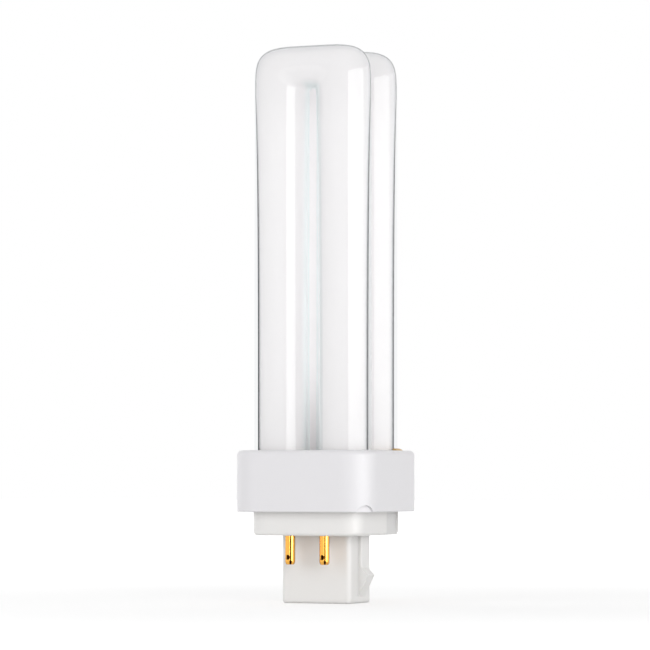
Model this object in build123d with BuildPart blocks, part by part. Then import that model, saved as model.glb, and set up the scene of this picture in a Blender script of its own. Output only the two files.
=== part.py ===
"""Plug-in compact fluorescent lamp with four tube legs and a four-pin base.

The lamp stands on the end of its plug: the origin is at the bottom centre of the plug, +Z runs up the tubes,
and the contact pins stand in two rows, in front of the plug (-Y) and behind it (+Y). Millimetres.
"""

import os
from math import cos, radians, sin, sqrt

from build123d import *

os.makedirs("parts", exist_ok=True)

# Glass vessel: two U tubes with square blown crowns, one behind the other
tube_od = 13.1
leg_gap = 2.7
row_gap = 2.7
tube_rise = 95.2
crown_height = 10.3
crown_squareness = 4.5
leg_insert = 9.5
closed_end_round = 4.0
bridge_od = 6.0
bridge_rise = 4.0
pinch_shoulder = 2.2
pinch_length = 1.7
pinch_width = 8.0
pinch_thickness = 2.8
pinch_round = 1.0

# Collar: the moulded shell that the four legs stand in
collar_margin = 3.15
collar_height = 14.35
collar_corner = 7.0
collar_top_round = 1.2
collar_bottom_round = 0.3
collar_wall = 1.8
collar_top = 1.8
leg_clearance = 0.35
notch_width = 4.4
notch_height = 1.6
notch_depth = 0.9
notch_turn = 37.0

# Base cap: flange, tier and plug in one moulding
flange_thickness = 1.8
flange_recess = 0.4
flange_seat = 0.7
flange_clearance = 0.15
tier_height = 5.55
tier_corner = 4.5
tier_bottom_round = 0.8
tier_wall = 1.15
tier_floor = 2.0
plug_length = 15.9
plug_width = 17.6
plug_depth = 12.8
plug_corner = 1.2
plug_end_round = 0.6
plug_wall = 1.5
plug_floor = 1.6

# Key recess in each side of the tier, and the ribs with catches on the sides of the plug
key_start = 3.25
key_width = 7.6
key_depth = 0.7
rib_width = 4.0
rib_proud = 0.9
rib_round = 0.35
right_rib_place = 0.5
left_rib_place = 2.4
catch_proud = 2.5
catch_start = 8.3
catch_ridge = 6.6
catch_foot = 1.5

# Contact pins: on a circle, each with a thick shank in the tier's floor and a swaged head, bored for a wire
pin_circle = 24.0
pin_pitch = 8.7
pin_od = 2.35
pin_shank_od = 2.6
pin_bore = 1.3
pin_bore_depth = 1.2
pin_length = 6.7
pin_tip_taper = 0.7
pin_tip_inset = 0.32
pin_head_od = 3.2
pin_head_height = 0.6
pin_head_clearance = 0.1
pin_hole_od = 1.15
pin_hole_depth = 0.8
pin_hole_rise = 1.7
pin_hole_turn = 8.0
pin_notch_width = 0.5
pin_notch_height = 0.8
pin_notch_depth = 0.7
pin_notch_turn = 29.0

# Lead wires and basing cement
wire_od = 0.6
wire_spread = 3.0
wire_bend = 0.6
cement_depth = 2.6
bead_width = 1.2
bead_height = 0.5
bead_start = -12.0
bead_sweep = 64.0

# Places that follow from the sizes above
tube_r = tube_od / 2
leg_spacing = tube_od + leg_gap
row_spacing = tube_od + row_gap
collar_width = leg_spacing + tube_od + 2 * collar_margin
collar_depth = row_spacing + tube_od + 2 * collar_margin
pin_rows = sqrt(pin_circle**2 - pin_pitch**2)
tier_edge = pin_head_od / 2 + pin_head_clearance + tier_wall
tier_side = pin_rows + 2 * tier_edge

tier_bottom_z = plug_length
collar_bottom_z = tier_bottom_z + tier_height
collar_top_z = collar_bottom_z + collar_height
crown_top_z = collar_top_z + tube_rise
crotch_r = leg_gap / 2
crotch_axis_z = crown_top_z - crown_height - crotch_r
crown_half = leg_spacing / 2 + tube_r
crown_rise = crown_top_z - crotch_axis_z
leg_end_z = collar_top_z - leg_insert
bridge_z = leg_end_z + bridge_rise
pinch_end_z = leg_end_z - pinch_shoulder - pinch_length
flange_bottom_z = collar_bottom_z + flange_recess
flange_top_z = flange_bottom_z + flange_thickness
tier_floor_z = tier_bottom_z + tier_floor
pin_tip_z = tier_bottom_z - pin_length
pin_head_z = tier_floor_z + pin_head_height
pin_bore_z = pin_head_z - pin_bore_depth


# Discharge vessel: four legs, two crowns, the bridge between the left legs and the seals of the right legs
with BuildPart() as discharge_tube:
    with BuildSketch(Plane.XY.offset(leg_end_z)):
        with GridLocations(leg_spacing, row_spacing, 2, 2):
            Circle(tube_r)
    extrude(amount=crotch_axis_z - leg_end_z)
    left_ends = discharge_tube.edges().group_by(Axis.Z)[0].sort_by(Axis.X)[:2]
    fillet(left_ends, closed_end_round)
    # The crown's sections fan out about the crotch's centre line, and reach out to a squared oval
    for row_y in (-row_spacing / 2, row_spacing / 2):
        for side in (-1, 1):
            for turns in ((0, 15, 30, 45), (45, 60, 75, 90)):
                for turn in turns:
                    across = cos(radians(turn))
                    up = sin(radians(turn))
                    oval = (across / crown_half) ** crown_squareness + (up / crown_rise) ** crown_squareness
                    reach = oval ** (-1 / crown_squareness)
                    way = Vector(side * across, 0, up)
                    middle = Vector(0, row_y, crotch_axis_z) + way * (reach + crotch_r) / 2
                    with BuildSketch(Plane(middle, x_dir=way, z_dir=(-side * up, 0, across))):
                        with BuildLine():
                            EllipticalCenterArc((0, 0), (reach - crotch_r) / 2, tube_r, 0, arc_size=180)
                            EllipticalCenterArc((0, 0), (reach - crotch_r) / 2, tube_r, 180, arc_size=180)
                        make_face()
                loft()
    with BuildSketch(Plane.XZ.offset(-row_spacing / 2)):
        with Locations((-leg_spacing / 2, bridge_z)):
            Circle(bridge_od / 2)
    extrude(amount=row_spacing)
    for row_y in (-row_spacing / 2, row_spacing / 2):
        with BuildSketch(Plane.XY.offset(leg_end_z)):
            with Locations((leg_spacing / 2, row_y)):
                Circle(tube_r)
        with BuildSketch(Plane.XY.offset(leg_end_z - pinch_shoulder)) as pinch_section:
            with Locations((leg_spacing / 2, row_y)):
                RectangleRounded(pinch_width, pinch_thickness, pinch_round)
        loft()
        extrude(pinch_section.sketch, amount=-pinch_length)
discharge_tube.part.label = "discharge_tube"
export_step(discharge_tube.part, "parts/discharge_tube.step")


# Collar: a shell open below, with four leg holes, a ledge for the base cap's flange and two prising notches
with BuildPart() as collar:
    with BuildSketch(Plane.XY.offset(collar_bottom_z)):
        RectangleRounded(collar_width, collar_depth, collar_corner)
    extrude(amount=collar_height)
    fillet(collar.faces().sort_by(Axis.Z)[-1].edges(), collar_top_round)
    fillet(collar.faces().sort_by(Axis.Z)[0].edges(), collar_bottom_round)
    with BuildSketch(Plane.XY.offset(collar_bottom_z)):
        RectangleRounded(collar_width, collar_depth, collar_corner)
        offset(amount=-collar_wall, mode=Mode.REPLACE)
    extrude(amount=collar_height - collar_top, mode=Mode.SUBTRACT)
    with BuildSketch(Plane.XY.offset(collar_bottom_z)):
        RectangleRounded(collar_width, collar_depth, collar_corner)
        offset(amount=flange_seat - collar_wall, mode=Mode.REPLACE)
    extrude(amount=flange_recess + flange_thickness, mode=Mode.SUBTRACT)
    with BuildSketch(Plane.XY.offset(collar_top_z)):
        with GridLocations(leg_spacing, row_spacing, 2, 2):
            Circle(tube_r + leg_clearance)
    extrude(amount=-collar_top, mode=Mode.SUBTRACT)
    for side in (1, -1):
        corner_x = side * (collar_width / 2 - collar_corner)
        corner_y = -side * (collar_depth / 2 - collar_corner)
        notch_way = Vector(side, 0, 0).rotate(Axis.Z, -notch_turn)
        notch_floor = Vector(corner_x, corner_y, collar_bottom_z) + notch_way * (collar_corner - notch_depth)
        with BuildSketch(Plane(notch_floor, x_dir=notch_way.rotate(Axis.Z, 90), z_dir=notch_way)):
            Ellipse(notch_width / 2, notch_height)
        extrude(amount=2 * notch_depth, mode=Mode.SUBTRACT)
collar.part.label = "collar"
export_step(collar.part, "parts/collar.step")


# Base cap: flange inside the collar, tier below it, and the plug, hollow down to the plug's floor
with BuildPart() as base_cap:
    with BuildSketch(Plane.XY.offset(flange_bottom_z)):
        RectangleRounded(collar_width, collar_depth, collar_corner)
        offset(amount=flange_seat - collar_wall - flange_clearance, mode=Mode.REPLACE)
    extrude(amount=flange_thickness)
    with BuildSketch(Plane.XY.offset(tier_bottom_z)):
        RectangleRounded(tier_side, tier_side, tier_corner)
    extrude(amount=flange_bottom_z - tier_bottom_z)
    tier_rim = base_cap.faces().sort_by(Axis.Z)[0].edges()
    fillet(tier_rim, tier_bottom_round)
    with BuildSketch(Plane.XY):
        RectangleRounded(plug_width, plug_depth, plug_corner)
    extrude(amount=tier_bottom_z + tier_floor)
    fillet(base_cap.faces().sort_by(Axis.Z)[0].edges(), plug_end_round)
    for side, place in ((1, right_rib_place), (-1, left_rib_place)):
        with BuildSketch(Plane.XZ.offset(-place)):
            with BuildLine():
                Polyline(
                    (side * (plug_width / 2 - plug_wall), tier_bottom_z + tier_floor),
                    (side * (plug_width / 2 + rib_proud), tier_bottom_z + tier_floor),
                    (side * (plug_width / 2 + rib_proud), catch_start),
                    (side * (plug_width / 2 + catch_proud), catch_ridge),
                    (side * plug_width / 2, catch_foot),
                    (side * (plug_width / 2 - plug_wall), catch_foot),
                    close=True,
                )
            make_face()
        extrude(amount=rib_width / 2, both=True)
        uprights = base_cap.edges().filter_by(Axis.Z).filter_by_position(Axis.Z, catch_start, tier_bottom_z)
        fillet(uprights.sort_by(lambda edge: -side * edge.center().X)[:2], rib_round)
        with BuildSketch(Plane.XY.offset(tier_bottom_z)):
            with Locations((side * tier_side / 2, key_start + key_width / 2)):
                Rectangle(2 * key_depth, key_width)
        extrude(amount=flange_bottom_z - tier_bottom_z, mode=Mode.SUBTRACT)
    with BuildSketch(Plane.XY.offset(tier_floor_z)):
        RectangleRounded(tier_side, tier_side, tier_corner)
        offset(amount=-tier_wall, mode=Mode.REPLACE)
    extrude(amount=flange_top_z - tier_floor_z, mode=Mode.SUBTRACT)
    with BuildSketch(Plane.XY.offset(plug_floor)):
        Rectangle(plug_width - 2 * plug_wall, plug_depth - 2 * plug_wall)
    extrude(amount=tier_floor_z - plug_floor, mode=Mode.SUBTRACT)
    with BuildSketch(Plane.XY.offset(tier_bottom_z)):
        with GridLocations(pin_pitch, pin_rows, 2, 2):
            Circle(pin_shank_od / 2)
    extrude(amount=tier_floor, mode=Mode.SUBTRACT)
base_cap.part.label = "base_cap"
export_step(base_cap.part, "parts/base_cap.step")


# Contact pins: each with its shank pressed into the tier's floor and its head swaged over it, a staking hole
# that faces outward and a notched, tapered tip
for name, side, pin_x in (
    ("front_left_pin", -1, -pin_pitch / 2),
    ("front_right_pin", -1, pin_pitch / 2),
    ("rear_left_pin", 1, -pin_pitch / 2),
    ("rear_right_pin", 1, pin_pitch / 2),
):
    pin_y = side * pin_rows / 2
    with BuildPart() as contact_pin:
        with BuildSketch(Plane((pin_x, pin_y, 0), x_dir=(1, 0, 0), z_dir=(0, -1, 0))):
            with BuildLine():
                Polyline(
                    (0, pin_tip_z),
                    (pin_od / 2 - pin_tip_inset, pin_tip_z),
                    (pin_od / 2, pin_tip_z + pin_tip_taper),
                    (pin_od / 2, tier_bottom_z),
                    (pin_shank_od / 2, tier_bottom_z),
                    (pin_shank_od / 2, tier_floor_z),
                    (pin_head_od / 2, tier_floor_z),
                    (pin_head_od / 2, pin_head_z),
                    (pin_bore / 2, pin_head_z),
                    (pin_bore / 2, pin_bore_z),
                    (0, pin_bore_z),
                    close=True,
                )
            make_face()
        revolve(axis=Axis((pin_x, pin_y, 0), (0, 0, 1)))
        outward = Vector(0, side, 0)
        hole_way = outward.rotate(Axis.Z, -pin_hole_turn)
        hole_middle = Vector(pin_x, pin_y, pin_tip_z + pin_hole_rise)
        hole_floor = hole_middle + hole_way * (pin_od / 2 - pin_hole_depth)
        with BuildSketch(Plane(hole_floor, z_dir=hole_way)):
            Circle(pin_hole_od / 2)
        extrude(amount=pin_od, mode=Mode.SUBTRACT)
        notch_way = outward.rotate(Axis.Z, pin_notch_turn)
        notch_floor = Vector(pin_x, pin_y, pin_tip_z) + notch_way * (pin_od / 2 - pin_notch_depth)
        with BuildSketch(Plane(notch_floor, x_dir=(0, 0, 1), z_dir=notch_way)):
            Rectangle(2 * pin_notch_height, pin_notch_width)
        extrude(amount=pin_od, mode=Mode.SUBTRACT)
    contact_pin.part.label = name
    export_step(contact_pin.part, f"parts/{name}.step")


# Lead wires: from the seals of the right legs, the inner wire to the far pin, the outer to the near pin
for name, side, reach, pin_x in (
    ("front_left_wire", -1, -1, -pin_pitch / 2),
    ("front_right_wire", -1, 1, pin_pitch / 2),
    ("rear_left_wire", 1, -1, -pin_pitch / 2),
    ("rear_right_wire", 1, 1, pin_pitch / 2),
):
    seal = Vector(leg_spacing / 2 + reach * wire_spread / 2, side * row_spacing / 2, pinch_end_z)
    pin_mouth = Vector(pin_x, side * pin_rows / 2, pin_head_z)
    run_drop = (pinch_end_z - pin_head_z) / 3
    with BuildPart() as lead_wire:
        with BuildLine() as wire_path:
            FilletPolyline(
                seal,
                seal - Vector(0, 0, run_drop),
                pin_mouth + Vector(0, 0, run_drop),
                Vector(pin_x, side * pin_rows / 2, pin_bore_z),
                radius=wire_bend,
            )
        with BuildSketch(Plane(seal, z_dir=(0, 0, -1))):
            Circle(wire_od / 2)
        sweep(path=wire_path.line)
    lead_wire.part.label = name
    export_step(lead_wire.part, f"parts/{name}.step")


# Basing cement: fills the collar below its top round the legs, with a bead squeezed up at the back right leg
with BuildPart() as basing_cement:
    with BuildSketch(Plane.XY.offset(collar_top_z - collar_top)):
        RectangleRounded(collar_width, collar_depth, collar_corner)
        offset(amount=-collar_wall, mode=Mode.REPLACE)
    extrude(amount=-cement_depth)
    with BuildSketch(Plane.XY.offset(collar_top_z - collar_top)):
        with Locations((leg_spacing / 2, row_spacing / 2)):
            Circle(tube_r + leg_clearance)
    extrude(amount=collar_top)
    leg_axis = Axis((leg_spacing / 2, row_spacing / 2, collar_top_z), (0, 0, 1))
    start_way = Vector(1, 0, 0).rotate(Axis.Z, bead_start)
    with BuildSketch(Plane(leg_axis.position, x_dir=start_way, z_dir=start_way.rotate(Axis.Z, -90))):
        with BuildLine():
            foot = Line((0, 0), (tube_r + bead_width, 0))
            crest = ThreePointArc(
                foot @ 1, (tube_r + 0.6 * bead_width, 0.75 * bead_height), (tube_r, bead_height)
            )
            Polyline(crest @ 1, (0, bead_height), (0, 0))
        make_face()
    revolve(axis=leg_axis, revolution_arc=bead_sweep)
    add(discharge_tube.part, mode=Mode.SUBTRACT)
basing_cement.part.label = "basing_cement"
export_step(basing_cement.part, "parts/basing_cement.step")
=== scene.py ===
"""A plug-in compact fluorescent lamp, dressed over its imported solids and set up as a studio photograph.

Metres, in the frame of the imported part: the plug stands on the floor at the origin, +Z runs up the tubes and
-Y is the front.
"""

from math import atan2, cos, pi, radians, sin

import bpy
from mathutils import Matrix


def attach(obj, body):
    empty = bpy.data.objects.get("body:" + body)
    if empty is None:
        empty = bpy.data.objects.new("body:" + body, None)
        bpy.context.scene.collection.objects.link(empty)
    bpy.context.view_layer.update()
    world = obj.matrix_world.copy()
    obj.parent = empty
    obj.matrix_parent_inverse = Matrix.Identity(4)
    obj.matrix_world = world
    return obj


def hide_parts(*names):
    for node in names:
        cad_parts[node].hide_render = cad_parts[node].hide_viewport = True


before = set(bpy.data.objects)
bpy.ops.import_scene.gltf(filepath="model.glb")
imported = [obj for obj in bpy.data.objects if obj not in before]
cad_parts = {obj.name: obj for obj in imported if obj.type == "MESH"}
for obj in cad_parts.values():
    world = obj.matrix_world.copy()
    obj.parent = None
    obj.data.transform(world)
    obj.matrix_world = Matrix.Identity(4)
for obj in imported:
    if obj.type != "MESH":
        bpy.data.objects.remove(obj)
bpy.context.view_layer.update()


# Glass vessel: two clear soda-lime tubes, each folded into a U in the flame and blown square at its crown,
# so that the wall is thick on the legs and thin at the top. Its four feet stand in the collar. Its shape is
# a section that runs up one leg, fans over about the centre of the crotch, and runs down the other.
tube_radius = 0.00655
leg_half_spacing = 0.0079
row_spacing = 0.0158
crown_top = 0.131
crown_height = 0.0103
crown_squareness = 4.5
leg_foot = 0.0263
foot_rounding = 0.004
wall_on_legs = 0.0009
wall_at_crown = 0.0002
wall_change = 0.02
steps_along = 181
steps_around = 89
fan_share = 0.5
seam_weld = 1e-6

folded_tube = bpy.data.node_groups.new("folded_tube", "GeometryNodeTree")
for socket_name, size in (
    ("Tube Radius", tube_radius),
    ("Leg Half Spacing", leg_half_spacing),
    ("Row Spacing", row_spacing),
    ("Crown Top", crown_top),
    ("Crown Height", crown_height),
    ("Crown Squareness", crown_squareness),
    ("Leg Foot", leg_foot),
    ("Wall on Legs", wall_on_legs),
    ("Wall at Crown", wall_at_crown),
    ("Wall Change Length", wall_change),
    ("Outer Share of Wall", 0.0),
    ("Outer Gap", 0.0),
    ("Inner Share of Wall", 1.0),
):
    tube_socket = folded_tube.interface.new_socket(socket_name, in_out="INPUT", socket_type="NodeSocketFloat")
    tube_socket.default_value = size
folded_tube.interface.new_socket("Hollow", in_out="INPUT", socket_type="NodeSocketBool")
folded_tube.interface.new_socket("Finish", in_out="INPUT", socket_type="NodeSocketMaterial")
folded_tube.interface.new_socket("Tube", in_out="OUTPUT", socket_type="NodeSocketGeometry")
tube_sizes = folded_tube.nodes.new("NodeGroupInput").outputs


def wired(tree, kind, links=None, **settings):
    """Adds a node with its settings and its linked or constant inputs, and gives it."""
    node = tree.nodes.new(kind)
    for setting, choice in settings.items():
        setattr(node, setting, choice)
    for socket, source in (links or {}).items():
        if isinstance(source, bpy.types.NodeSocket):
            tree.links.new(source, node.inputs[socket])
        else:
            node.inputs[socket].default_value = source
    return node


def math_of(tree, operation, *terms):
    """Gives the result of one sum in a node tree."""
    return wired(tree, "ShaderNodeMath", dict(enumerate(terms)), operation=operation).outputs[0]


def tube_sum(operation, *terms):
    """Gives the result of one sum in the tube's rule."""
    return math_of(folded_tube, operation, *terms)


# A flat grid carries the two running values: along the tube from foot to foot, and once round its section
tube_grid = wired(
    folded_tube,
    "GeometryNodeMeshGrid",
    {"Size X": 1.0, "Size Y": 1.0, "Vertices X": steps_along, "Vertices Y": steps_around},
)
grid_place = wired(
    folded_tube, "ShaderNodeSeparateXYZ", {0: wired(folded_tube, "GeometryNodeInputPosition").outputs[0]}
).outputs
along = grid_place["X"]
around = tube_sum("MULTIPLY", grid_place["Y"], 2 * pi)

# From the middle outwards, the first share of the grid fans over the crown and the rest runs down the legs
leg_side = tube_sum("SIGN", along)
from_middle = tube_sum("MULTIPLY", tube_sum("ABSOLUTE", along), 2.0)
fan_turn = tube_sum("MINIMUM", tube_sum("DIVIDE", from_middle, fan_share), 1.0)
fan_turn = tube_sum("MULTIPLY", tube_sum("SUBTRACT", 1.0, fan_turn), pi / 2)
leg_share = tube_sum("DIVIDE", tube_sum("SUBTRACT", from_middle, fan_share), 1.0 - fan_share)
leg_share = tube_sum("MAXIMUM", leg_share, 0.0)
across = tube_sum("MAXIMUM", tube_sum("COSINE", fan_turn), 0.0)
upward = tube_sum("SINE", fan_turn)

# A section reaches from the round of the crotch out to a squared oval
crotch_radius = tube_sum("SUBTRACT", tube_sizes["Leg Half Spacing"], tube_sizes["Tube Radius"])
crotch_level = tube_sum("SUBTRACT", tube_sizes["Crown Top"], tube_sizes["Crown Height"])
crotch_level = tube_sum("SUBTRACT", crotch_level, crotch_radius)
half_width = tube_sum("ADD", tube_sizes["Leg Half Spacing"], tube_sizes["Tube Radius"])
crown_rise = tube_sum("SUBTRACT", tube_sizes["Crown Top"], crotch_level)
squareness = tube_sizes["Crown Squareness"]
oval_across = tube_sum("POWER", tube_sum("DIVIDE", across, half_width), squareness)
oval_upward = tube_sum("POWER", tube_sum("DIVIDE", upward, crown_rise), squareness)
reach = tube_sum("ADD", oval_across, oval_upward)
reach = tube_sum("POWER", reach, tube_sum("DIVIDE", -1.0, squareness))
section_middle = tube_sum("DIVIDE", tube_sum("ADD", reach, crotch_radius), 2.0)
section_half = tube_sum("DIVIDE", tube_sum("SUBTRACT", reach, crotch_radius), 2.0)

# The wall thickens from the crown down the legs
leg_length = tube_sum("SUBTRACT", crotch_level, tube_sizes["Leg Foot"])
below_crown = tube_sum("MULTIPLY", leg_share, leg_length)
below_crown = tube_sum("DIVIDE", below_crown, tube_sizes["Wall Change Length"])
wall_share = tube_sum("SUBTRACT", 1.0, tube_sum("EXPONENT", tube_sum("MULTIPLY", below_crown, -1.0)))
wall = tube_sum("SUBTRACT", tube_sizes["Wall on Legs"], tube_sizes["Wall at Crown"])
wall = tube_sum("MULTIPLY_ADD", wall_share, wall, tube_sizes["Wall at Crown"])

# The grid keeps marks for the materials: how thick the wall is, and in two marks which way its outside faces
marked_grid = tube_grid.outputs["Mesh"]
for mark, value in (
    ("wall_share", wall_share),
    ("faces_out", tube_sum("COSINE", around)),
    ("faces_back", tube_sum("SINE", around)),
):
    marked_grid = wired(
        folded_tube,
        "GeometryNodeStoreNamedAttribute",
        {"Geometry": marked_grid, "Name": mark, "Value": value},
    ).outputs[0]

# The outer and the inner wall are the same grid bent twice, with rounded feet, and a mark tells them apart
tube_walls = folded_tube.nodes.new("GeometryNodeJoinGeometry")
for wall_side in ("Outer", "Inner"):
    depth = tube_sum("MULTIPLY", wall, tube_sizes[wall_side + " Share of Wall"])
    if wall_side == "Outer":
        depth = tube_sum("ADD", depth, tube_sizes["Outer Gap"])
    drop = tube_sum("MULTIPLY", leg_share, tube_sum("SUBTRACT", leg_length, depth))
    foot_rise = tube_sum("SUBTRACT", tube_sum("SUBTRACT", leg_length, depth), drop)
    foot_round = tube_sum("MINIMUM", tube_sum("DIVIDE", foot_rise, foot_rounding), 1.0)
    foot_round = tube_sum("SUBTRACT", 1.0, foot_round)
    foot_round = tube_sum("SQRT", tube_sum("SUBTRACT", 1.0, tube_sum("MULTIPLY", foot_round, foot_round)))
    section_across = tube_sum("MULTIPLY", tube_sum("SUBTRACT", section_half, depth), foot_round)
    section_deep = tube_sum("SUBTRACT", tube_sizes["Tube Radius"], depth)
    section_deep = tube_sum("MULTIPLY", section_deep, foot_round)
    outward = tube_sum("MULTIPLY", section_across, tube_sum("COSINE", around))
    outward = tube_sum("ADD", section_middle, outward)
    wall_place = wired(
        folded_tube,
        "ShaderNodeCombineXYZ",
        {
            "X": tube_sum("MULTIPLY", leg_side, tube_sum("MULTIPLY", across, outward)),
            "Y": tube_sum("MULTIPLY", section_deep, tube_sum("SINE", around)),
            "Z": tube_sum(
                "ADD", tube_sum("SUBTRACT", crotch_level, drop), tube_sum("MULTIPLY", upward, outward)
            ),
        },
    ).outputs[0]
    bent_wall = wired(
        folded_tube, "GeometryNodeSetPosition", {"Geometry": marked_grid, "Position": wall_place}
    ).outputs[0]
    closed_wall = wired(
        folded_tube, "GeometryNodeMergeByDistance", {0: bent_wall, "Distance": seam_weld}
    ).outputs[0]
    if wall_side == "Inner":
        closed_wall = wired(folded_tube, "GeometryNodeFlipFaces", {0: closed_wall}).outputs[0]
    marked_wall = wired(
        folded_tube,
        "GeometryNodeStoreNamedAttribute",
        {"Geometry": closed_wall, "Name": "inner_wall", "Value": float(wall_side == "Inner")},
    ).outputs[0]
    if wall_side == "Inner":
        marked_wall = wired(
            folded_tube,
            "GeometryNodeSwitch",
            {"Switch": tube_sizes["Hollow"], "True": marked_wall},
            input_type="GEOMETRY",
        ).outputs[0]
    folded_tube.links.new(marked_wall, tube_walls.inputs[0])

# The same tube stands twice, one row behind the other
front_row = tube_sum("MULTIPLY", tube_sizes["Row Spacing"], -0.5)
row_start = wired(folded_tube, "ShaderNodeCombineXYZ", {"Y": front_row}).outputs[0]
row_step = wired(folded_tube, "ShaderNodeCombineXYZ", {"Y": tube_sizes["Row Spacing"]}).outputs[0]
row_points = wired(
    folded_tube, "GeometryNodeMeshLine", {"Count": 2, "Start Location": row_start, "Offset": row_step}
).outputs[0]
tube_rows = wired(
    folded_tube, "GeometryNodeInstanceOnPoints", {"Points": row_points, "Instance": tube_walls.outputs[0]}
).outputs[0]
smooth_tubes = wired(folded_tube, "GeometryNodeSetShadeSmooth", {0: tube_rows}).outputs[0]
real_tubes = wired(folded_tube, "GeometryNodeRealizeInstances", {0: smooth_tubes}).outputs[0]
finished_tubes = wired(
    folded_tube, "GeometryNodeSetMaterial", {"Geometry": real_tubes, "Material": tube_sizes["Finish"]}
).outputs[0]
wired(folded_tube, "NodeGroupOutput", {0: finished_tubes})


def grown_piece(name, tree, **inputs):
    """Makes a piece from a node tree, with the named inputs set, and keeps the result as a plain mesh."""
    piece = bpy.data.objects.new(name, bpy.data.meshes.new(name))
    bpy.context.scene.collection.objects.link(piece)
    modifier = piece.modifiers.new(name, "NODES")
    modifier.node_group = tree
    for item in tree.interface.items_tree:
        key = item.name.lower().replace(" ", "_")
        if item.in_out == "INPUT" and key in inputs:
            modifier[item.identifier] = inputs[key]
    bpy.context.view_layer.update()
    grown = bpy.data.meshes.new_from_object(piece.evaluated_get(bpy.context.evaluated_depsgraph_get()))
    grown.name = name
    piece.modifiers.remove(modifier)
    while grown.materials[0] is None:
        grown.materials.pop(index=0)
    piece.data = grown
    return piece


def new_finish(name):
    """Starts a material, and gives it with its node tree and its plain shader."""
    finish = bpy.data.materials.new(name)
    finish.use_nodes = True
    return finish, finish.node_tree, finish.node_tree.nodes["Principled BSDF"]


def mark_of(tree, name):
    """Gives a mark that a piece's mesh carries."""
    return wired(tree, "ShaderNodeAttribute", attribute_name=name).outputs["Fac"]


def ramp_of(tree, value, low, high, bottom=0.0, top=1.0):
    """Gives a soft step from bottom to top as a value runs from low to high."""
    step = {"Value": value, "From Min": low, "From Max": high, "To Min": bottom, "To Max": top}
    return wired(tree, "ShaderNodeMapRange", step, interpolation_type="SMOOTHSTEP").outputs[0]


def colour_mix(tree, factor, first, second):
    """Gives a mix of two colours."""
    mix = wired(tree, "ShaderNodeMix", data_type="RGBA")
    for socket, source in ((mix.inputs[0], factor), (mix.inputs[6], first), (mix.inputs[7], second)):
        if isinstance(source, bpy.types.NodeSocket):
            tree.links.new(source, socket)
        else:
            socket.default_value = source
    return mix.outputs[2]


clear_glass, glass_nodes, plain_shader = new_finish("clear_glass")
glass_nodes.nodes.remove(plain_shader)


def glass_sum(operation, *terms):
    """Gives the result of one sum in the glass."""
    return math_of(glass_nodes, operation, *terms)


# Looked at along its wall the glass is tinted grey. On the inner wall a dark edge is painted where the wall is
# seen edge-on, painted shade that stands in for dark surroundings seen through the glass; it is darkest on the
# thick legs and left off where a white leg stands behind. The painted edge starts and ends at two glances on a
# thin wall, and sooner on a thick one.
clear_white = (1.0, 1.0, 1.0, 1.0)
rim_grey = (0.945, 0.95, 0.955, 1.0)
gap_green = (0.94, 0.98, 0.978, 1.0)
thin_edge_shade = (0.26, 0.26, 0.29, 1.0)
thick_edge_shade = (0.02, 0.024, 0.04, 1.0)
edge_start_glance, edge_start_sooner = 0.66, 0.18
edge_end_glance, edge_end_sooner = 0.92, 0.12
tint_start_glance, tint_end_glance = 0.25, 0.7
turned_in, turned_away = -0.1, 0.4
object_place = wired(glass_nodes, "ShaderNodeTexCoord").outputs["Object"]
glass_place = wired(glass_nodes, "ShaderNodeSeparateXYZ", {0: object_place}).outputs
glancing = wired(glass_nodes, "ShaderNodeLayerWeight", {"Blend": 0.5}).outputs["Facing"]
row_sign = glass_sum("SIGN", glass_place["Y"])
faces_out = mark_of(glass_nodes, "faces_out")
outwardness = glass_sum("MULTIPLY_ADD", mark_of(glass_nodes, "faces_back"), row_sign, faces_out)
inner_wall = mark_of(glass_nodes, "inner_wall")
faces_away = ramp_of(glass_nodes, outwardness, turned_in, turned_away)
wall_thickness = mark_of(glass_nodes, "wall_share")
edge_start = glass_sum("MULTIPLY_ADD", wall_thickness, -edge_start_sooner, edge_start_glance)
edge_end = glass_sum("MULTIPLY_ADD", wall_thickness, -edge_end_sooner, edge_end_glance)
# Painted shade: a dark edge on the inner wall where it is seen edge-on
painted_edge_shade = glass_sum("MULTIPLY", ramp_of(glass_nodes, glancing, edge_start, edge_end), faces_away)
painted_edge_shade = glass_sum("MULTIPLY", painted_edge_shade, inner_wall)
edge_shade_grey = colour_mix(glass_nodes, wall_thickness, thin_edge_shade, thick_edge_shade)
wall_seen_along = ramp_of(glass_nodes, glancing, tint_start_glance, tint_end_glance)
rim_tint = glass_sum("MULTIPLY", wall_seen_along, faces_away)
gap_tint = glass_sum("SUBTRACT", wall_seen_along, rim_tint)
wall_tint = colour_mix(glass_nodes, rim_tint, clear_white, rim_grey)
wall_tint = colour_mix(glass_nodes, gap_tint, wall_tint, gap_green)
wall_tint = colour_mix(glass_nodes, painted_edge_shade, wall_tint, edge_shade_grey)

# Where the fold closed, the glass has wrinkled
fold_drop = 0.0007
fold_height = crown_top - crown_height - fold_drop
fold_off_middle = 0.0012
fold_flatness = 1.6
wrinkle_scale = 750.0
wrinkle_core, wrinkle_rim = 0.015, 0.05
wrinkled_to, smooth_from = 0.0014, 0.0024
wrinkle_grey = (0.62, 0.64, 0.67, 1.0)
fold_across = glass_sum("SUBTRACT", glass_place["X"], fold_off_middle)
fold_rise = glass_sum("SUBTRACT", glass_place["Z"], fold_height)
fold_rise = glass_sum("MULTIPLY", fold_rise, fold_flatness)
fold_reach = glass_sum("MULTIPLY", fold_rise, fold_rise)
fold_reach = glass_sum("MULTIPLY_ADD", fold_across, fold_across, fold_reach)
fold_reach = glass_sum("SQRT", fold_reach)
wrinkles = wired(
    glass_nodes, "ShaderNodeTexNoise", {"Vector": object_place, "Scale": wrinkle_scale, "Detail": 1.0}
).outputs["Fac"]
wrinkles = glass_sum("ABSOLUTE", glass_sum("SUBTRACT", wrinkles, 0.5))
wrinkles = ramp_of(glass_nodes, wrinkles, wrinkle_core, wrinkle_rim, 1.0, 0.0)
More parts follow.
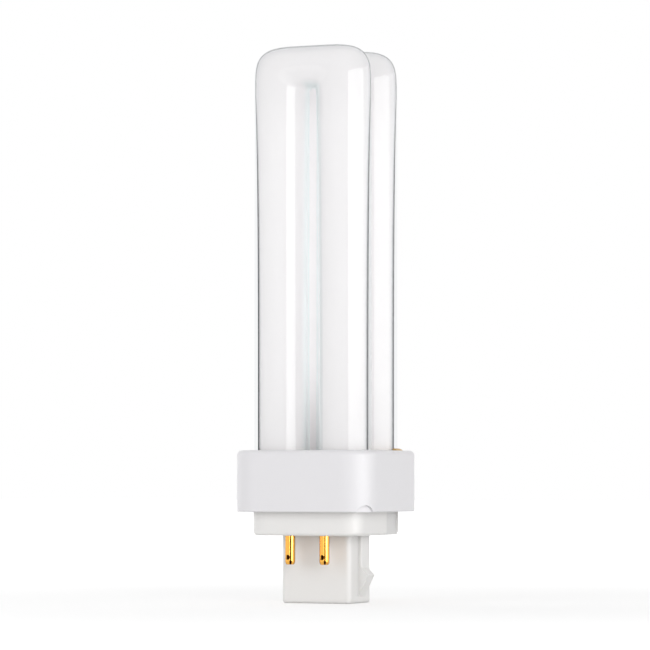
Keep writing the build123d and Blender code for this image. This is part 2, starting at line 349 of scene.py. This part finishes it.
near_fold = ramp_of(glass_nodes, fold_reach, wrinkled_to, smooth_from, 1.0, 0.0)
wrinkles = glass_sum("MULTIPLY", wrinkles, near_fold)
wrinkles = glass_sum("MULTIPLY", wrinkles, inner_wall)
wall_tint = colour_mix(glass_nodes, wrinkles, wall_tint, wrinkle_grey)

# Only the front of the outer wall mirrors, little when looked at squarely and fully along the wall
square_mirror = 0.04
glass_roughness = 0.07
see_through = wired(glass_nodes, "ShaderNodeBsdfTransparent", {"Color": wall_tint}).outputs[0]
gloss = wired(
    glass_nodes, "ShaderNodeBsdfGlossy", {"Color": clear_white, "Roughness": glass_roughness}
).outputs[0]
mirrored = glass_sum("POWER", glancing, 5.0)
mirrored = glass_sum("MULTIPLY_ADD", mirrored, 1.0 - square_mirror, square_mirror)
backside = wired(glass_nodes, "ShaderNodeNewGeometry").outputs["Backfacing"]
for unmirrored in (inner_wall, backside):
    mirrored = glass_sum("MULTIPLY", mirrored, glass_sum("SUBTRACT", 1.0, unmirrored))
glass_mix = wired(glass_nodes, "ShaderNodeMixShader", {0: mirrored, 1: see_through, 2: gloss}).outputs[0]
glass_nodes.links.new(glass_mix, glass_nodes.nodes["Material Output"].inputs["Surface"])

glass_vessel = grown_piece("glass_vessel", folded_tube, hollow=True, finish=clear_glass)
glass_vessel.visible_shadow = False
glass_vessel.visible_diffuse = False
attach(glass_vessel, "root")
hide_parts("discharge_tube")


# Powder coat: the white phosphor that lines the tubes, a film so thin that light soaks through it and fills
# them. It was washed in as a paste and baked on, and lies a hair inside the glass, so the wall shows clear
# along its edges. Towards the crown it is painted a little greyer, partly for a thinner coat and partly as
# painted shade.
coat_gap = 0.00003
soak_through = 0.2
powder_roughness = 0.6
powder_grey = (0.945, 0.935, 0.943, 1.0)
powder_pale = (0.962, 0.957, 0.958, 1.0)
powder_at_crown = (0.925, 0.917, 0.922, 1.0)
crown_coat_start, crown_coat_end = 0.11, 0.122
powder_white, powder_nodes, plain_shader = new_finish("powder_white")
powder_nodes.nodes.remove(plain_shader)
powder_place = wired(powder_nodes, "ShaderNodeTexCoord").outputs["Object"]
powder_cloud = wired(
    powder_nodes,
    "ShaderNodeTexNoise",
    {"Vector": powder_place, "Scale": 160.0, "Detail": 4.0, "Roughness": 0.6},
).outputs["Fac"]
powder_colour = colour_mix(powder_nodes, powder_cloud, powder_grey, powder_pale)
powder_spot = wired(powder_nodes, "ShaderNodeSeparateXYZ", {0: powder_place}).outputs
# Partly a thinner coat and partly painted shade: greyer towards the crown
thin_coat_and_shade = ramp_of(powder_nodes, powder_spot["Z"], crown_coat_start, crown_coat_end)
powder_colour = colour_mix(powder_nodes, thin_coat_and_shade, powder_colour, powder_at_crown)
powder_front = wired(
    powder_nodes, "ShaderNodeBsdfDiffuse", {"Color": powder_colour, "Roughness": powder_roughness}
).outputs[0]
powder_through = wired(powder_nodes, "ShaderNodeBsdfTranslucent", {"Color": powder_colour}).outputs[0]
powder_mix = wired(
    powder_nodes, "ShaderNodeMixShader", {0: soak_through, 1: powder_front, 2: powder_through}
).outputs[0]

# The four legs throw light to and fro between them; a faint glow where they face the middle stands in for it
caught_strength = 0.155
faces_middle, faces_past_middle = -1.35, -0.6
caught_light_start, caught_light_end = 0.034, 0.056
powder_row = math_of(powder_nodes, "SIGN", powder_spot["Y"])
powder_faces = math_of(
    powder_nodes,
    "MULTIPLY_ADD",
    mark_of(powder_nodes, "faces_back"),
    powder_row,
    mark_of(powder_nodes, "faces_out"),
)
caught_light = math_of(
    powder_nodes,
    "MULTIPLY",
    ramp_of(powder_nodes, powder_faces, faces_middle, faces_past_middle, caught_strength, 0.0),
    ramp_of(powder_nodes, powder_spot["Z"], caught_light_start, caught_light_end),
)
powder_glow = wired(
    powder_nodes, "ShaderNodeEmission", {"Color": powder_colour, "Strength": caught_light}
).outputs[0]
powder_sum = wired(powder_nodes, "ShaderNodeAddShader", {0: powder_mix, 1: powder_glow}).outputs[0]
powder_nodes.links.new(powder_sum, powder_nodes.nodes["Material Output"].inputs["Surface"])

powder_coat = grown_piece(
    "powder_coat", folded_tube, outer_share_of_wall=1.0, outer_gap=coat_gap, finish=powder_white
)
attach(powder_coat, "root")


# Collar: one satin moulding in a cool white polyester, open below, that the tubes are cemented into. It keeps
# the shape of its solid; the finish has the fine grain of a spark-eroded mould, and painted shade greys it a
# little in its corners.
noise_low, noise_high = 0.2, 0.8


def moulded_finish(name, colour, roughness, gloss, grain):
    """Makes a satin moulded plastic with a fine grain, a faint cloudiness and painted shade in its corners.

    Gives the material, its node tree and shader, its place on the piece and its colour.
    """
    cloud_share, corner_shade_share = 0.975, 0.88
    cloud_scale, grain_scale = 90.0, 2600.0
    corner_reach = 0.0014
    corner_shut, corner_open = 0.45, 1.0
    grain_depth = 0.00003
    roughness_spread = 0.05
    finish, nodes, shader = new_finish(name)
    place = wired(nodes, "ShaderNodeTexCoord").outputs["Object"]
    cloud = wired(
        nodes, "ShaderNodeTexNoise", {"Vector": place, "Scale": cloud_scale, "Detail": 3.0}
    ).outputs["Fac"]
    # Painted shade: an occlusion pass darkens the colour in corners and creases
    shade = wired(nodes, "ShaderNodeAmbientOcclusion", {"Distance": corner_reach}, samples=8).outputs["AO"]
    dull = tuple(cloud_share * share for share in colour)
    corner_shade_colour = tuple(corner_shade_share * share for share in colour)
    body = colour_mix(nodes, cloud, (*dull, 1.0), (*colour, 1.0))
    shade = ramp_of(nodes, shade, corner_shut, corner_open)
    body = colour_mix(nodes, shade, (*corner_shade_colour, 1.0), body)
    nodes.links.new(body, shader.inputs["Base Color"])
    pits = wired(
        nodes, "ShaderNodeTexNoise", {"Vector": place, "Scale": grain_scale, "Detail": 2.0}
    ).outputs["Fac"]
    bump = wired(nodes, "ShaderNodeBump", {"Height": pits, "Strength": grain, "Distance": grain_depth})
    nodes.links.new(bump.outputs[0], shader.inputs["Normal"])
    smoothest, roughest = roughness - roughness_spread, roughness + roughness_spread
    satin = ramp_of(nodes, cloud, noise_low, noise_high, smoothest, roughest)
    nodes.links.new(satin, shader.inputs["Roughness"])
    shader.inputs["Specular IOR Level"].default_value = gloss
    return finish, nodes, shader, place, body


collar_colour = (0.815, 0.805, 0.825)
collar_white = moulded_finish("collar_white", collar_colour, roughness=0.38, gloss=0.5, grain=0.35)[0]
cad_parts["collar"].data.materials[0] = collar_white


# Base cap: flange, tier and plug in one moulding of a warmer white, snapped into the collar from below. The
# floors of the key recesses in the sides of its tier are painted a darker grey as shade.
base_colour = (0.85, 0.84, 0.825)
recess_shade_grey = (0.71, 0.705, 0.70, 1.0)
recess_floor = 0.01333
recess_start = 0.00325
recess_margin = 0.0001
tier_bottom = 0.0159
tier_top = 0.0214
base_white, base_nodes, base_shader, base_place, base_body = moulded_finish(
    "base_white", base_colour, roughness=0.38, gloss=0.55, grain=0.3
)
base_spot = wired(base_nodes, "ShaderNodeSeparateXYZ", {0: base_place}).outputs
# Painted shade: the floors of the key recesses are found by place and greyed
recess_shade_mark = math_of(base_nodes, "ABSOLUTE", base_spot["X"])
recess_shade_mark = math_of(base_nodes, "COMPARE", recess_shade_mark, recess_floor, recess_margin)
for axis, test, limit in (
    ("Y", "GREATER_THAN", recess_start),
    ("Z", "GREATER_THAN", tier_bottom + recess_margin),
    ("Z", "LESS_THAN", tier_top),
):
    within = math_of(base_nodes, test, base_spot[axis], limit)
    recess_shade_mark = math_of(base_nodes, "MULTIPLY", recess_shade_mark, within)
base_nodes.links.new(
    colour_mix(base_nodes, recess_shade_mark, base_body, recess_shade_grey), base_shader.inputs["Base Color"]
)
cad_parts["base_cap"].data.materials[0] = base_white


# Contact pins: gold-coloured brass strip rolled into tubes, so each has a seam down one side that ends in a
# notch at its rounded tip, and a round hole where it was staked onto its wire. The four are one shape, and
# the rear two are turned about.
pin_vertices = 96
pin_segments = 112
disc_vertices = 48
rolled_pin = bpy.data.node_groups.new("rolled_pin", "GeometryNodeTree")
for socket_name, size in (
    ("Pin Radius", 0.001175),
    ("Pin Length", 0.0067),
    ("Tip Height", 0.0092),
    ("Tip Taper", 0.0007),
    ("Tip Inset", 0.00032),
    ("Pin Pitch", 0.0087),
    ("Row Distance", 0.022368),
    ("Shank Radius", 0.0013),
    ("Shank Length", 0.002),
    ("Head Radius", 0.0016),
    ("Head Height", 0.0006),
    ("Seam Turn", radians(29)),
    ("Seam Width", 0.0003),
    ("Seam Depth", 0.0003),
    ("Notch Width", 0.0006),
    ("Notch Height", 0.0009),
    ("Notch Depth", 0.0006),
    ("Hole Turn", radians(-8)),
    ("Hole Radius", 0.00058),
    ("Hole Rise", 0.0017),
    ("Hole Depth", 0.0006),
):
    pin_socket = rolled_pin.interface.new_socket(socket_name, in_out="INPUT", socket_type="NodeSocketFloat")
    pin_socket.default_value = size
rolled_pin.interface.new_socket("Finish", in_out="INPUT", socket_type="NodeSocketMaterial")
rolled_pin.interface.new_socket("Pins", in_out="OUTPUT", socket_type="NodeSocketGeometry")
pin_sizes = rolled_pin.nodes.new("NodeGroupInput").outputs


def pin_sum(operation, *terms):
    """Gives the result of one sum in the pin's rule."""
    return math_of(rolled_pin, operation, *terms)


def from_line(turn):
    """Gives the distance round the pin from a line down its side."""
    return pin_sum("MULTIPLY", pin_sum("SUBTRACT", pin_turn, turn), pin_sizes["Pin Radius"])


def sunk(distance, width):
    """Gives 1 inside a width and 0 outside it, with a short slope."""
    level_share = 0.75
    return ramp_of(rolled_pin, distance, pin_sum("MULTIPLY", width, level_share), width, 1.0, 0.0)


# A plain tube is pressed in along the seam, at the notch and in the hole, and drawn in towards its tip
pin_tube = wired(
    rolled_pin,
    "GeometryNodeMeshCylinder",
    {
        "Vertices": pin_vertices,
        "Side Segments": pin_segments,
        "Radius": pin_sizes["Pin Radius"],
        "Depth": pin_sizes["Pin Length"],
    },
).outputs["Mesh"]
pin_place = wired(
    rolled_pin, "ShaderNodeSeparateXYZ", {0: wired(rolled_pin, "GeometryNodeInputPosition").outputs[0]}
).outputs
pin_turn = pin_sum("ARCTAN2", pin_place["X"], pin_sum("MULTIPLY", pin_place["Y"], -1.0))
pin_rise = pin_sum("MULTIPLY_ADD", pin_sizes["Pin Length"], 0.5, pin_place["Z"])
from_seam = pin_sum("ABSOLUTE", from_line(pin_sizes["Seam Turn"]))
seam_sunk = sunk(from_seam, pin_sum("MULTIPLY", pin_sizes["Seam Width"], 0.5))
notch_sunk = sunk(from_seam, pin_sum("MULTIPLY", pin_sizes["Notch Width"], 0.5))
notch_sunk = pin_sum("MULTIPLY", notch_sunk, sunk(pin_rise, pin_sizes["Notch Height"]))
hole_across = from_line(pin_sizes["Hole Turn"])
hole_up = pin_sum("SUBTRACT", pin_rise, pin_sizes["Hole Rise"])
from_hole = pin_sum("MULTIPLY", hole_across, hole_across)
from_hole = pin_sum("SQRT", pin_sum("MULTIPLY_ADD", hole_up, hole_up, from_hole))
hole_sunk = sunk(from_hole, pin_sizes["Hole Radius"])
pin_sink = pin_sum("MULTIPLY", seam_sunk, pin_sizes["Seam Depth"])
pin_sink = pin_sum("MAXIMUM", pin_sink, pin_sum("MULTIPLY", notch_sunk, pin_sizes["Notch Depth"]))
pin_sink = pin_sum("MAXIMUM", pin_sink, pin_sum("MULTIPLY", hole_sunk, pin_sizes["Hole Depth"]))
tip_share = pin_sum("DIVIDE", pin_rise, pin_sizes["Tip Taper"])
tip_share = pin_sum("SUBTRACT", 1.0, pin_sum("MINIMUM", tip_share, 1.0))
tip_share = pin_sum("MULTIPLY", tip_share, tip_share)
pin_radius = pin_sum("MULTIPLY", tip_share, pin_sizes["Tip Inset"])
pin_radius = pin_sum("SUBTRACT", pin_sizes["Pin Radius"], pin_radius)
pin_radius = pin_sum("SUBTRACT", pin_radius, pin_sink)
frontward = pin_sum("MULTIPLY", pin_sum("COSINE", pin_turn), -1.0)
rolled_place = wired(
    rolled_pin,
    "ShaderNodeCombineXYZ",
    {
        "X": pin_sum("MULTIPLY", pin_radius, pin_sum("SINE", pin_turn)),
        "Y": pin_sum("MULTIPLY", pin_radius, frontward),
        "Z": pin_sum("ADD", pin_rise, pin_sizes["Tip Height"]),
    },
).outputs[0]
sunk_mark = wired(
    rolled_pin,
    "GeometryNodeStoreNamedAttribute",
    {
        "Geometry": pin_tube,
        "Name": "sunk",
        "Value": pin_sum("DIVIDE", pin_sink, pin_sizes["Hole Depth"]),
    },
).outputs[0]
rolled_tube = wired(
    rolled_pin, "GeometryNodeSetPosition", {"Geometry": sunk_mark, "Position": rolled_place}
).outputs[0]

# The shank and the swaged head stand on top of it, hidden in the base
whole_pin = wired(rolled_pin, "GeometryNodeJoinGeometry", {0: rolled_tube})
stack_base = pin_sum("ADD", pin_sizes["Tip Height"], pin_sizes["Pin Length"])
for radius, height in (("Shank Radius", "Shank Length"), ("Head Radius", "Head Height")):
    disc = wired(
        rolled_pin,
        "GeometryNodeMeshCylinder",
        {"Vertices": disc_vertices, "Radius": pin_sizes[radius], "Depth": pin_sizes[height]},
    ).outputs["Mesh"]
    disc_middle = pin_sum("MULTIPLY_ADD", pin_sizes[height], 0.5, stack_base)
    disc_place = wired(rolled_pin, "ShaderNodeCombineXYZ", {"Z": disc_middle}).outputs[0]
    disc = wired(rolled_pin, "GeometryNodeSetPosition", {"Geometry": disc, "Offset": disc_place}).outputs[0]
    rolled_pin.links.new(disc, whole_pin.inputs[0])
    stack_base = pin_sum("ADD", stack_base, pin_sizes[height])

# The flat ends stay crisp and the sides are smooth, and the pin stands at the four corners of an oblong
level_face = 0.9
pin_facing = wired(
    rolled_pin, "ShaderNodeSeparateXYZ", {0: wired(rolled_pin, "GeometryNodeInputNormal").outputs[0]}
).outputs["Z"]
steep_side = pin_sum("LESS_THAN", pin_sum("ABSOLUTE", pin_facing), level_face)
smooth_pin = wired(
    rolled_pin, "GeometryNodeSetShadeSmooth", {0: whole_pin.outputs[0], "Selection": steep_side}
).outputs[0]
pin_points = wired(
    rolled_pin,
    "GeometryNodeMeshGrid",
    {
        "Size X": pin_sizes["Pin Pitch"],
        "Size Y": pin_sizes["Row Distance"],
        "Vertices X": 2,
        "Vertices Y": 2,
    },
).outputs["Mesh"]
row_behind = pin_sum("GREATER_THAN", pin_place["Y"], 0.0)
about_turn = pin_sum("MULTIPLY", row_behind, pi)
about_turn = wired(rolled_pin, "ShaderNodeCombineXYZ", {"Z": about_turn}).outputs[0]
four_pins = wired(
    rolled_pin,
    "GeometryNodeInstanceOnPoints",
    {"Points": pin_points, "Instance": smooth_pin, "Rotation": about_turn},
).outputs[0]
real_pins = wired(rolled_pin, "GeometryNodeRealizeInstances", {0: four_pins}).outputs[0]
gilt_pins = wired(
    rolled_pin, "GeometryNodeSetMaterial", {"Geometry": real_pins, "Material": pin_sizes["Finish"]}
).outputs[0]
wired(rolled_pin, "NodeGroupOutput", {0: gilt_pins})

# The gold is streaked along the pin, with painted shade at its edges and where it is pressed in, which is also
# duller
gold_deep = (0.78, 0.38, 0.06, 1.0)
gold_bright = (0.90, 0.49, 0.11, 1.0)
gold_edge_shade = (0.26, 0.085, 0.01, 1.0)
sunk_shade_brown = (0.045, 0.008, 0.001, 1.0)
streak_stretch = (4000.0, 4000.0, 250.0)
seam_dulling = 0.4
streak_low, streak_high = 0.3, 0.7
gold_smoothest, gold_roughest = 0.1, 0.18
gold_edge_start, gold_edge_end = 0.35, 0.85
sunk_start, sunk_full = 0.05, 0.5
pin_gold, gold_nodes, gold_shader = new_finish("pin_gold")
gold_shader.inputs["Metallic"].default_value = 1.0
gold_place = wired(gold_nodes, "ShaderNodeTexCoord").outputs["Object"]
gold_streak = wired(
    gold_nodes, "ShaderNodeMapping", {"Vector": gold_place, "Scale": streak_stretch}
).outputs[0]
gold_streak = wired(
    gold_nodes, "ShaderNodeTexNoise", {"Vector": gold_streak, "Scale": 1.0, "Detail": 2.0}
).outputs["Fac"]
# Painted shade: the gold darkens towards its edges as seen
gold_edge_shading = wired(gold_nodes, "ShaderNodeLayerWeight", {"Blend": 0.5}).outputs["Facing"]
gold_edge_shading = ramp_of(gold_nodes, gold_edge_shading, gold_edge_start, gold_edge_end)
# Painted shade in the seam, notch and hole, where the gold is also rougher
sunk_shade_and_dulling = ramp_of(gold_nodes, mark_of(gold_nodes, "sunk"), sunk_start, sunk_full)
gold_colour = colour_mix(gold_nodes, gold_streak, gold_deep, gold_bright)
gold_colour = colour_mix(gold_nodes, gold_edge_shading, gold_colour, gold_edge_shade)
gold_colour = colour_mix(gold_nodes, sunk_shade_and_dulling, gold_colour, sunk_shade_brown)
gold_nodes.links.new(gold_colour, gold_shader.inputs["Base Color"])
gold_roughness = ramp_of(
    gold_nodes, gold_streak, streak_low, streak_high, gold_smoothest, gold_roughest
)
gold_roughness = math_of(gold_nodes, "MULTIPLY_ADD", sunk_shade_and_dulling, seam_dulling, gold_roughness)
gold_nodes.links.new(gold_roughness, gold_shader.inputs["Roughness"])

contact_pins = grown_piece("contact_pins", rolled_pin, finish=pin_gold)
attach(contact_pins, "root")
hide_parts("front_left_pin", "front_right_pin", "rear_left_pin", "rear_right_pin")


# Basing cement: a baked resin paste, amber and a little rough, that fixes the glass in the collar. It fills
# the collar under its top, and a bead of it has squeezed up beside the back right leg.
cement_dark = (0.50, 0.27, 0.06, 1.0)
cement_light = (0.78, 0.55, 0.24, 1.0)
cement_roughness = 0.45
lump_scale = 900.0
lump_strength = 0.7
lump_depth = 0.0003
cement_amber, cement_nodes, cement_shader = new_finish("cement_amber")
cement_place = wired(cement_nodes, "ShaderNodeTexCoord").outputs["Object"]
cement_lumps = wired(
    cement_nodes,
    "ShaderNodeTexNoise",
    {"Vector": cement_place, "Scale": lump_scale, "Detail": 5.0, "Roughness": 0.65},
).outputs["Fac"]
cement_nodes.links.new(
    colour_mix(cement_nodes, cement_lumps, cement_dark, cement_light), cement_shader.inputs["Base Color"]
)
cement_bump = wired(
    cement_nodes,
    "ShaderNodeBump",
    {"Height": cement_lumps, "Strength": lump_strength, "Distance": lump_depth},
)
cement_nodes.links.new(cement_bump.outputs[0], cement_shader.inputs["Normal"])
cement_shader.inputs["Roughness"].default_value = cement_roughness
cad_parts["basing_cement"].data.materials[0] = cement_amber


# Lead wires: tinned drawn wire, two from each glass seal, that carry the current to the pins. Each is pushed
# into the bore in its pin's head, and all four lie hidden inside the base.
wire_dark = (0.52, 0.50, 0.47, 1.0)
wire_light = (0.68, 0.66, 0.63, 1.0)
wire_smoothest, wire_roughest = 0.25, 0.45
wire_grey, wire_nodes, wire_shader = new_finish("wire_grey")
wire_shader.inputs["Metallic"].default_value = 1.0
wire_place = wired(wire_nodes, "ShaderNodeTexCoord").outputs["Object"]
wire_marks = wired(
    wire_nodes, "ShaderNodeTexNoise", {"Vector": wire_place, "Scale": 1500.0, "Detail": 3.0}
).outputs["Fac"]
wire_nodes.links.new(
    colour_mix(wire_nodes, wire_marks, wire_dark, wire_light), wire_shader.inputs["Base Color"]
)
wire_roughness = ramp_of(wire_nodes, wire_marks, noise_low, noise_high, wire_smoothest, wire_roughest)
wire_nodes.links.new(wire_roughness, wire_shader.inputs["Roughness"])
for wire in ("front_left_wire", "front_right_wire", "rear_left_wire", "rear_right_wire"):
    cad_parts[wire].data.materials[0] = wire_grey


# Studio: a pale sweep that reads as white to the eye, to gloss and through glass. Two panels on the right
# show only in gloss, as the bright bands down the tubes, and a small card does the same for the pins. Five
# soft cards round the lamp give it an even light.
room_level = 0.51
sweep_level = 1.0
studio_white = (1.0, 1.0, 1.0, 1.0)
studio = bpy.data.worlds.new("studio")
bpy.context.scene.world = studio
studio.use_nodes = True
studio_nodes = studio.node_tree
room_light = studio_nodes.nodes["Background"]
room_light.inputs["Color"].default_value = studio_white
room_light.inputs["Strength"].default_value = room_level
white_sweep = wired(studio_nodes, "ShaderNodeBackground", {"Color": studio_white, "Strength": sweep_level})


def seen_ray(tree):
    """Gives 1 for rays that see a surface straight, in gloss or through glass, and 0 for its light."""
    path = wired(tree, "ShaderNodeLightPath").outputs
    seen = math_of(tree, "MAXIMUM", path["Is Camera Ray"], path["Is Glossy Ray"])
    return math_of(tree, "MAXIMUM", seen, path["Is Transmission Ray"])


sweep_mix = wired(
    studio_nodes,
    "ShaderNodeMixShader",
    {0: seen_ray(studio_nodes), 1: room_light.outputs[0], 2: white_sweep.outputs[0]},
).outputs[0]
studio_nodes.links.new(sweep_mix, studio_nodes.nodes["World Output"].inputs["Surface"])

# The floor is lifted towards white where it is seen, more so further off, and keeps the lamp's shadow
floor_half = 3.0
floor_grey = (0.85, 0.85, 0.85, 1.0)
floor_roughness = 0.9
lift_start, lift_end = 0.04, 0.45
lift_near, lift_far = 0.33, 0.7
floor_corners = [(x * floor_half, y * floor_half, 0) for x, y in ((-1, -1), (1, -1), (1, 1), (-1, 1))]
floor = bpy.data.objects.new("floor", bpy.data.meshes.new("floor"))
floor.data.from_pydata(floor_corners, [], [(0, 1, 2, 3)])
bpy.context.scene.collection.objects.link(floor)
floor_white, floor_nodes, floor_shader = new_finish("floor_white")
floor_shader.inputs["Base Color"].default_value = floor_grey
floor_shader.inputs["Roughness"].default_value = floor_roughness
floor_shader.inputs["Specular IOR Level"].default_value = 0.0
floor_place = wired(floor_nodes, "ShaderNodeTexCoord").outputs["Object"]
floor_reach = wired(
    floor_nodes, "ShaderNodeVectorMath", {0: floor_place}, operation="LENGTH"
).outputs["Value"]
floor_lift = ramp_of(floor_nodes, floor_reach, lift_start, lift_end, lift_near, lift_far)
floor_glow = wired(
    floor_nodes, "ShaderNodeEmission", {"Color": floor_lift, "Strength": seen_ray(floor_nodes)}
).outputs[0]
floor_sum = wired(floor_nodes, "ShaderNodeAddShader", {0: floor_shader.outputs[0], 1: floor_glow}).outputs[0]
floor_nodes.links.new(floor_sum, floor_nodes.nodes["Material Output"].inputs["Surface"])
floor.data.materials.append(floor_white)


def soft_light(name, azimuth, distance, height, aim, width, tall, power):
    """Hangs a rectangular soft light at an azimuth from the front, aimed at a height on the lamp's axis."""
    light = bpy.data.lights.new(name, "AREA")
    light.shape = "RECTANGLE"
    light.size = width
    light.size_y = tall
    light.energy = power
    holder = bpy.data.objects.new(name, light)
    turn = radians(azimuth)
    holder.location = (distance * sin(turn), -distance * cos(turn), height)
    holder.rotation_euler = (pi / 2 - atan2(height - aim, distance), 0, turn)
    bpy.context.scene.collection.objects.link(holder)
    return holder


for name, azimuth, distance, height, aim, width, tall, power in (
    ("right_panel", 75, 0.6, 0.15, 0.12, 0.82, 0.26, 2.2),
    ("panel_end", 123, 0.6, 0.15, 0.12, 0.45, 0.26, 0.42),
    ("pin_card", 70, 0.25, 0.014, 0.014, 0.16, 0.02, 0.08),
):
    panel = soft_light(name, azimuth, distance, height, aim, width, tall, power)
    panel.visible_diffuse = False

card_aim = 0.06
card_tall = 0.5
for name, azimuth, distance, height, width, power in (
    ("key_box", 38, 0.8, 0.14, 0.5, 2.35),
    ("right_card", 80, 0.9, 0.14, 0.8, 1.42),
    ("left_card", -28, 0.8, 0.16, 0.6, 1.55),
    ("left_wall", -112, 0.9, 0.2, 0.8, 2.8),
    ("back_wall", 190, 1.0, 0.25, 1.2, 2.6),
):
    card = soft_light(name, azimuth, distance, height, card_aim, width, card_tall, power)
    card.visible_glossy = False
    card.visible_camera = False
    card.visible_transmission = False

bpy.context.scene.view_settings.view_transform = "Standard"


# Camera: a long lens level with the collar, to the right of the front and tipped up a little, so that the
# lamp stands upright in the middle of a square picture. The focal length is given in the picture's pixels.
picture_width = 650
focal_pixels = 3407
film_width = 36.0
camera_azimuth = radians(23.35)
camera_distance = 0.8044
camera_height = 0.03
camera_tip = radians(2.523)
camera_aim = radians(0.022)
camera_data = bpy.data.cameras.new("camera")
camera_data.sensor_width = film_width
camera_data.lens = focal_pixels / picture_width * film_width
camera = bpy.data.objects.new("camera", camera_data)
camera.location = (
    camera_distance * sin(camera_azimuth), -camera_distance * cos(camera_azimuth), camera_height
)
camera.rotation_euler = (pi / 2 + camera_tip, 0, camera_azimuth + camera_aim)
bpy.context.scene.collection.objects.link(camera)
bpy.context.scene.camera = camera
